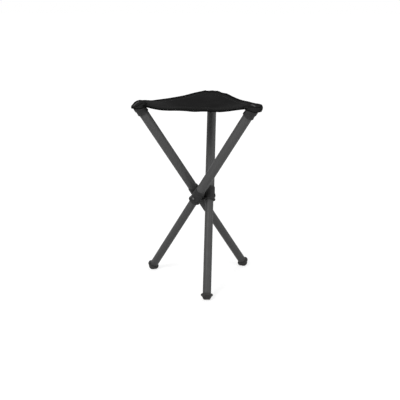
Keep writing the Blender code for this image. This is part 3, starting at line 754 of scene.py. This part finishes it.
# Stitches: a thread knot repeated along a line, made with nodes
def makeStitchTree():
    tree = bpy.data.node_groups.new("stitchRow", "GeometryNodeTree")
    addSocket(tree, "Geometry", "Geometry")
    for label, value in (("Spacing", 0.004), ("Length", 0.0028), ("Thickness", 0.0007)):
        addSocket(tree, label, "Float", value=value)
    addSocket(tree, "Thread", "Material")
    addSocket(tree, "Geometry", "Geometry", "OUTPUT")
    given, put = addNode(tree, "NodeGroupInput").outputs, addNode(tree, "NodeGroupOutput").inputs

    def step(kind, links, **settings):
        return addNode(tree, kind if "Node" in kind else "GeometryNode" + kind, links, **settings).outputs[0]

    line = step("MeshToCurve", {"Mesh": given["Geometry"]})
    even = step("ResampleCurve", {"Curve": line, "Length": given["Spacing"]}, mode="LENGTH")
    knot = step("MeshUVSphere", {"Segments": 6, "Rings": 5, "Radius": 0.5})
    size = step("ShaderNodeCombineXYZ", {"X": given["Thickness"], "Y": given["Thickness"], "Z": given["Length"]})
    shape = step("Transform", {"Geometry": knot, "Scale": size})
    heading = step("FunctionNodeAlignRotationToVector", {"Vector": step("InputTangent", {})}, axis="Z")
    row = step("InstanceOnPoints", {"Points": even, "Instance": shape, "Rotation": heading})
    real = step("RealizeInstances", {0: row})
    tree.links.new(step("SetMaterial", {"Geometry": real, "Material": given["Thread"]}), put[0])
    return tree


stitchTree = makeStitchTree()


def stitchLines(name, lines, spacing, length, thickness):
    bm = bmesh.new()
    for points in lines:
        verts = [bm.verts.new(p) for p in points]
        for a, b in zip(verts, verts[1:]):
            bm.edges.new((a, b))
    obj = looseObject(name, bm)
    row = obj.modifiers.new("stitches", "NODES")
    row.node_group = stitchTree
    sizes = {"Spacing": spacing * mm, "Length": length * mm, "Thickness": thickness * mm, "Thread": finish["thread"]}
    for item in stitchTree.interface.items_tree:
        if item.in_out == "INPUT" and item.name in sizes:
            row[item.identifier] = sizes[item.name]
    settle(obj)
    obj.data.polygons.foreach_set("use_smooth", [True] * len(obj.data.polygons))
    return obj


# Panel: three thirds that meet in lines from the middle to the middle of each edge. One entry for each corner in
# the painted sheen, the paler streaks coloured into the cloth inward from the corners: rear, left, right.
paintedSheen = {"shift": (0.0, -8.0, 8.0), "amount": (0.4, 1.0, 0.75), "width": 16.0, "widen": 0.35, "strongest": 46.0,
           "spread": 38.0}
hem = {"tapeIn": 5.0, "tapeFlat": 2.5, "tapeOut": 0.9, "tapeUp": 0.75, "tapeGap": 0.06, "tapeFold": 0.15,
       "rowIn": 3.2, "secondRowIn": 15.0, "stitch": (4.0, 2.8, 0.75)}  # spacing, length and thickness


# Painted sheen: how much paler the cloth is coloured in a streak running in from the corner
def paintedSheenAt(point, k):
    s, out = paintedSheen, cornerWays[k]
    back, across = seat["corner"] - point.xy.dot(out.xy), out.x * point.y - out.y * point.x
    spread = exp(-((across - s["shift"][k]) / (s["width"] + s["widen"] * max(back, 0.0))) ** 2)
    return spread * exp(-((back - s["strongest"]) / s["spread"]) ** 2) * s["amount"][k]


# The share of the way to the rim at which the cloth stops, inside the pocket's wall
def tuckedShare(p, leg):
    limit, intoLeg = 1.0, leg["place"].inverted()
    while hypot(*(intoLeg @ seatPlace(p.x * limit, p.y * limit)).xy) / mm < seat["tuck"] and limit > seat["tuckLeast"]:
        limit -= seat["tuckStep"]
    return limit


def makeSector(k):
    half = seat["edgeSteps"] // 2
    columns = [rim[(k * sectorLength - half + j) % len(rim)] for j in range(2 * half + seat["cornerSteps"] + 1)]
    limits, grid = [tuckedShare(p, legs[k]) for p in columns], []
    for ring in range(1, seat["rings"] + 1):
        share = ring / seat["rings"]
        grid.append([seatPlace(p.x * share * limit, p.y * share * limit) for p, limit in zip(columns, limits)])
    bm = surfaceFrom(grid)
    centre = bm.verts.new(seatPlace(0.001, 0.001))
    bm.verts.ensure_lookup_table()
    for j in range(len(columns) - 1):
        bm.faces.new((centre, bm.verts[j + 1], bm.verts[j]))
    obj, area = sheetObject(f"seatCloth_{k + 1}", bm, seat["thickness"], "seat", 50)
    # Painted sheen: how much paler each point of this third is coloured, strongest in streaks inside the corners
    paintedSheenMask = obj.data.attributes.new("paintedSheen", "FLOAT", "POINT")
    paintedSheenMask.data.foreach_set("value", [paintedSheenAt((v.co - hubPoint) / mm, k) for v in obj.data.vertices])
    return obj, area


# Binding tape folded over the edge, one half edge at a time
def tapeHalf(number, fromShare, toShare, steps=44):
    under, up, out, gap = -seat["thickness"], hem["tapeUp"], hem["tapeOut"], hem["tapeGap"]
    inner, flat, crease = -hem["tapeIn"], -hem["tapeFlat"], hem["tapeFold"]
    upper = [(inner, gap), (inner, up * 0.9), (flat, up), (0.0, up), (out * 0.7, up * 0.45)]
    lower = [(away, under - lift) for away, lift in reversed(upper)]
    lines = [*upper, (out, under / 2), *lower, (crease, under - gap), (crease, gap)]
    edge, grid = alongEdge(number, fromShare, toShare, steps), []
    for point, outwards in edge:
        row = []
        for away, lift in lines:
            spot = point + outwards * away
            base = seatHeight(spot.x, spot.y) if away < 0 else point.z
            row.append(hubPoint + Vector((spot.x, spot.y, base + lift)) * mm)
        grid.append(row)
    length = (edge[0][0] - edge[-1][0]).length * mm
    bm = surfaceFrom(grid, True, lambda row, i, j: (length * i / steps, j * 1.2 * mm))
    for row in (0, steps):
        first = row * len(lines)
        bm.faces.new([bm.verts[first + j] for j in range(len(lines))])
    bmesh.ops.recalc_face_normals(bm, faces=bm.faces)
    return bm


def edgeLine(number, fromShare, toShare, inset, lift, steps=40):
    edge = alongEdge(number, fromShare, toShare, steps)
    return [seatPlace(*(point - outwards * inset).xy, lift) for point, outwards in edge]


sectors = []
rowLift = hem["tapeUp"] + 0.05
hemRows = ((hem["rowIn"], rowLift), (hem["rowIn"], -seat["thickness"] - rowLift), (hem["secondRowIn"], 0.1))
for k in range(3):
    before = (k + 2) % 3
    cloth, area = makeSector(k)
    tape = looseObject(f"edgeTape_{k + 1}", joinShapes([tapeHalf(before, 0.5, 0.99), tapeHalf(k, 0.01, 0.5)]))
    finishMesh(tape, "tape", 40)
    rows = []
    for inset, lift in hemRows:
        rows += [edgeLine(before, 0.5, 0.93, inset, lift), edgeLine(k, 0.07, 0.5, inset, lift)]
    stitches = stitchLines(f"hemStitches_{k + 1}", rows, *hem["stitch"])
    for piece, slotName in ((cloth, "seat_cloth"), (tape, "binding_tape"), (stitches, "seat_cloth")):
        followLeg(piece, k)
    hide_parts("seat_panel")
    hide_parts(f"edge_binding_{k + 1}", f"edge_binding_{before + 1}")
    sectors.append((cloth, area, [tape, stitches]))
print("seat cloth made, flat area", round(sum(s[1] for s in sectors), 4))


# Pockets: cloth hoods over the legs' heads. One entry for each: rear, left, right. Reach is measured from the hub.
pocket = {"cloth": 0.7, "steps": 144, "rows": 44, "middle": 158.0, "tip": 160.0, "inner": 138.4, "innerTop": 147.4,
          "innerSquare": 2.2, "half": (19.6, 18.0, 18.5), "topIn": 0.3, "crown": (0.0, 0.5, 0.8),
          "clear": (0.75, 1.2, 1.2), "end": (178.6, 180.3, 183.6), "square": (2.2, 2.3, 2.8), "ease": (9.0, 5.0, 8.6),
          "hemOut": (0.0, -0.6, -2.8), "bulge": (0.8, 0.0, 2.8), "lean": (0.0, 0.0, 3.0),
          # heights of the top at the inner side, the middle and the end
          "top": ((257.4, 251.0, 243.5), (259.6, 254.4, 243.9), (257.4, 257.6, 256.0)),
          "roll": (0.0, 1.0, -2.4),  # how much higher the top is on the side away from the front
          "hem": ((246.0, 236.5), (244.4, 241.7), (250.0, 241.4)),  # heights at the inner side and the end
          "creases": ((0.5, 6, 1.3), (0.3, 11, 2.1)),  # size, count and shift from pocket to pocket
          "hemBead": 0.9, "piping": 0.8, "seam": 0.9, "stitchRow": 3, "stitchLift": 0.15, "stitch": (3.4, 2.4, 0.7),
          "seamRise": 0.3, "wallSteps": 12, "topSteps": 16}
tab = {"length": 15.0, "width": 4.6, "thick": 0.7, "from": 160.5, "side": (0.0, 0.0, 4.5), "turn": (0.0, 0.0, 20.0),
       "rows": 14, "columns": 6}


def legSpot(k, reach, side, height):
    outward = legs[k]["outward"]
    return hubPoint + (upward.cross(outward) * reach + outward * (pivotReach + side) + upward * height) * mm


def hoodTop(k, reach, side):
    share = (reach - pocket["innerTop"]) / (pocket["end"][k] - pocket["innerTop"])
    return alongTable(pocket["top"][k], share) + pocket["roll"][k] * side / pocket["half"][k]


# Keeps the cloth off the plastic head inside it
def clearOfHead(k, point):
    local = legs[k]["place"].inverted() @ point / mm
    across = hypot(local.x, local.y)
    ease, need = fitting["round"], fitting["round"] + pocket["clear"][k]
    side, over = max(across - fitting["head"] + ease, 0.0), max(local.z - fitting["headTop"] + ease, 0.0)
    gap = hypot(side, over)
    if local.z < fitting["headLow"] or gap >= need or gap < 1e-6:
        return point
    grow = 1 + (need / gap - 1) * side / max(across, 1e-6)
    moved = Vector((local.x * grow, local.y * grow, local.z + over * (need / gap - 1)))
    return legs[k]["place"] @ (moved * mm)


def hoodRing(k, angle, inner, end, half):
    c, s, middle = cos(angle), sin(angle), pocket["middle"]
    reach, square = (end - middle, pocket["square"][k]) if c > 0 else (middle - inner, pocket["innerSquare"])
    away = (abs(c / reach) ** square + abs(s / half) ** square) ** (-1 / square)
    return middle + away * c, away * s - pocket["lean"][k] * max(c, 0.0)


def hoodMiddle(k):
    return Vector((pocket["tip"], 0, hoodTop(k, pocket["tip"], 0) + pocket["crown"][k]))


# One strip of the hood: up the wall from the hem, over the rounded edge, to the middle of the top
def hoodStrip(k, angle):
    end, half, wall, over = pocket["end"][k], pocket["half"][k], pocket["wallSteps"], pocket["topSteps"]
    low = hoodRing(k, angle, pocket["inner"], end + pocket["hemOut"][k], half)
    high = hoodRing(k, angle, pocket["innerTop"], end, half - pocket["topIn"])
    hemIn, hemEnd = pocket["hem"][k]
    bottom = Vector((*low, hemIn + (hemEnd - hemIn) * ramp(low[0], pocket["inner"], end)))
    corner, middle = Vector((*high, hoodTop(k, *high))), hoodMiddle(k)
    ease = min(pocket["ease"][k], 0.6 * (corner - bottom).length)
    first, last = (corner + (far - corner).normalized() * ease for far in (bottom, middle))
    path = [bottom.lerp(first, j / wall) for j in range(wall)]
    path += [first.lerp(corner, t).lerp(corner.lerp(last, t), t) for t in (j / wall for j in range(wall + 1))]
    swell = pocket["bulge"][k] * max(cos(angle), 0.0)
    for j, spot in enumerate(path):  # the outer wall bellies out between hem and top
        spot.x += swell * sin(pi * j / (len(path) - 1))
    rise = [spot.z - hoodTop(k, *spot.xy) for spot in (last, middle)]
    for t in (j / over for j in range(1, over + 1)):
        spot = last.lerp(middle, t)
        spot.z = hoodTop(k, *spot.xy) + rise[0] + (rise[1] - rise[0]) * t * (2 - t)
        path.append(spot)
    return path


def evenly(path, count):
    runs, points, i = runOf(path), [], 0
    for m in range(count):
        want = runs[-1] * m / count
        while runs[i + 1] < want:
            i += 1
        points.append(path[i].lerp(path[i + 1], (want - runs[i]) / max(runs[i + 1] - runs[i], 1e-9)))
    return points, runs


def makePocket(k):
    steps, rows = pocket["steps"], pocket["rows"]
    edgeStep = pocket["wallSteps"] * 3 // 2  # halfway round the rounded edge
    strips, rimRows, runs = [], [], []
    for angle in (2 * pi * j / steps for j in range(steps)):
        points, run = evenly(hoodStrip(k, angle), rows)
        rimRows.append(run[edgeStep] / run[-1] * rows)
        runs.append(run[-1] / rows)
        strip = []
        for m, p in enumerate(points):  # the wall is loose near the hem
            loose = 1 - ramp(m / rows, 0.0, 0.4)
            crease = loose * sum(size * sin(count * angle + shift * k) for size, count, shift in pocket["creases"])
            away = Vector((p.x - pocket["middle"], p.y, 0)).normalized()
            strip.append(clearOfHead(k, legSpot(k, *(p + away * crease))))
        strips.append(strip)
    grid = [[strip[m] for strip in strips] for m in range(rows)]
    edgeRow = sum(rimRows) / steps

    def mapping(row, i, j):
        if row < edgeRow:
            return (2 * pi * j / steps * pocket["half"][k] * mm, runs[j % steps] * i * mm)
        return grid[i][j % steps].xy

    bm = surfaceFrom(grid, True, mapping)
    layer = bm.loops.layers.uv["clothMap"]
    tip = bm.verts.new(clearOfHead(k, legSpot(k, *hoodMiddle(k))))
    bm.verts.ensure_lookup_table()
    first = (rows - 1) * steps
    for j in range(steps):
        face = bm.faces.new((bm.verts[first + j], bm.verts[first + (j + 1) % steps], tip))
        for loop in face.loops:
            loop[layer].uv = loop.vert.co.xy
    obj, area = sheetObject(f"cornerPocket_{k + 1}", bm, pocket["cloth"], "pocket", 60)
    return obj, area, strips, rimRows


# Where the panel runs into the hood
def seamLine(strips):
    def aboveSeat(p):
        plan = (p - hubPoint) / mm
        return plan.z - seatHeight(plan.x, plan.y) - pocket["seamRise"]

    steps, points = len(strips), []
    for strip in strips[steps // 4:3 * steps // 4 + 1]:
        for a, b in zip(strip, strip[1:]):
            below, above = aboveSeat(a), aboveSeat(b)
            if below < 0 <= above:
                points.append(a.lerp(b, below / (below - above)))
                break
    return points


# Plain woven tab sewn flat on the hood, along its middle line
def makeTab(k, strips):
    hood = [p for strip in strips for p in strip[len(strip) // 4:]]
    rows, columns, length, width = tab["rows"], tab["columns"], tab["length"], tab["width"]
    c, s = cos(radians(tab["turn"][k])), sin(radians(tab["turn"][k]))

    def onHood(along, side):
        flat = legSpot(k, tab["from"] + along * c - side * s, tab["side"][k] + along * s + side * c, 0)
        nearest = min(hood, key=lambda p: (p.x - flat.x) ** 2 + (p.y - flat.y) ** 2)
        return Vector((*flat.xy, nearest.z + tab["thick"] * mm))

    sides = [width * j / columns - width / 2 for j in range(columns + 1)]
    grid = [[onHood(length * i / rows, side) for side in sides] for i in range(rows + 1)]
    bm = surfaceFrom(grid, False, lambda row, i, j: (i * length / rows * mm, j * width / columns * mm))
    return sheetObject(f"pocketTab_{k + 1}", bm, tab["thick"], "tab", 50)[0]


for k, leg in enumerate(legs):
    cap, area, strips, rimRows = makePocket(k)
    n, quarter = leg["number"], pocket["steps"] // 4
    hemLine = [strip[0] for strip in strips]
    pipeLine = [strip[round(row)] for strip, row in zip(strips, rimRows)]
    outerPipe = [pipeLine[j] for j in range(-quarter, quarter + 1)]
    edging = looseObject(f"pocketEdging_{n}", joinShapes([
        beadAlong(hemLine, pocket["hemBead"], True), beadAlong(outerPipe, pocket["piping"]),
        beadAlong(seamLine(strips), pocket["seam"])]))
    finishMesh(edging, "tape", 60)
    sewn = [strip[pocket["stitchRow"]] for strip in strips]
    middle = sum(sewn, Vector()) / len(sewn)
    row = [p + (p - middle).normalized() * pocket["stitchLift"] * mm for p in sewn]
    stitches = stitchLines(f"pocketStitches_{n}", [row + row[:1]], *pocket["stitch"])
    sewnTab = makeTab(k, strips)
    for piece, slotName in ((cap, "pocket_cloth"), (edging, "binding_tape"), (stitches, "pocket_cloth"),
                            (sewnTab, "binding_tape")):
        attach(piece, leg["upper"])
    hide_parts(f"corner_pocket_{n}")
    cloth, clothArea, extras = sectors[k]
print("pockets made")

# Floor and light. Camera, glossy and transmission rays meet a bright floor and a white world, all others plainer ones.
studio = {"floorSize": 20.0, "floorTone": 0.85, "shadowTone": 0.4, "glowFrom": 0.5, "glowTo": 3.0, "glowNear": 0.68,
          "glowFar": 0.84, "skyLight": 0.45, "aimRise": 0.08}
lamps = {"key": ((-1.1, -1.6, 1.9), 1.4, 42.0), "fill": ((1.6, -1.2, 1.2), 1.6, 16.0),
         "back": ((0.6, 1.8, 1.6), 1.4, 12.0)}  # place, size and power


def seenRays(tree):
    rays = addNode(tree, "LightPath").outputs
    straight = mathNode(tree, "MAXIMUM", rays["Is Camera Ray"], rays["Is Glossy Ray"])
    return mathNode(tree, "MAXIMUM", straight, rays["Is Transmission Ray"])


def clearTree(owner):
    owner.use_nodes = True
    owner.node_tree.nodes.clear()
    return owner.node_tree


floorMesh = bmesh.new()
bmesh.ops.create_grid(floorMesh, x_segments=1, y_segments=1, size=studio["floorSize"])
floor = looseObject("studioFloor", floorMesh)
paper = bpy.data.materials.new("palePaper")
tree = clearTree(paper)
plain, shadow = (addNode(tree, "BsdfDiffuse", {"Color": (*grey(studio[tone]), 1)}).outputs[0]
                 for tone in ("floorTone", "shadowTone"))
fromMiddle = addNode(tree, "VectorMath", {0: objectSpot(tree)}, operation="LENGTH").outputs["Value"]
glow = addNode(tree, "MapRange", {"Value": fromMiddle, "From Min": studio["glowFrom"], "From Max": studio["glowTo"],
                                  "To Min": studio["glowNear"], "To Max": studio["glowFar"]})
white = addNode(tree, "Emission", {"Color": (1, 1, 1, 1), "Strength": glow.outputs["Result"]})
lifted = addNode(tree, "AddShader", {0: shadow, 1: white.outputs[0]})
choice = addNode(tree, "MixShader", {0: seenRays(tree), 1: plain, 2: lifted.outputs[0]})
addNode(tree, "OutputMaterial", {"Surface": choice.outputs[0]})
floor.data.materials.append(paper)

scene.world = bpy.data.worlds.new("studio")
tree = clearTree(scene.world)
glow = addNode(tree, "MapRange", {"Value": seenRays(tree), "To Min": studio["skyLight"], "To Max": 1.0})
sky = addNode(tree, "Background", {"Color": (1, 1, 1, 1), "Strength": glow.outputs[0]})
addNode(tree, "OutputWorld", {"Surface": sky.outputs[0]})

aim = hubPoint + upward * studio["aimRise"]
for name, (spot, size, power) in lamps.items():
    lamp = bpy.data.lights.new(name + "Lamp", "AREA")
    lamp.shape, lamp.size, lamp.energy = "DISK", size, power
    holder = bpy.data.objects.new(name + "Lamp", lamp)
    scene.collection.objects.link(holder)
    holder.location = spot
    holder.rotation_euler = (aim - Vector(spot)).to_track_quat("-Z", "Y").to_euler()
print("floor and lamps made")
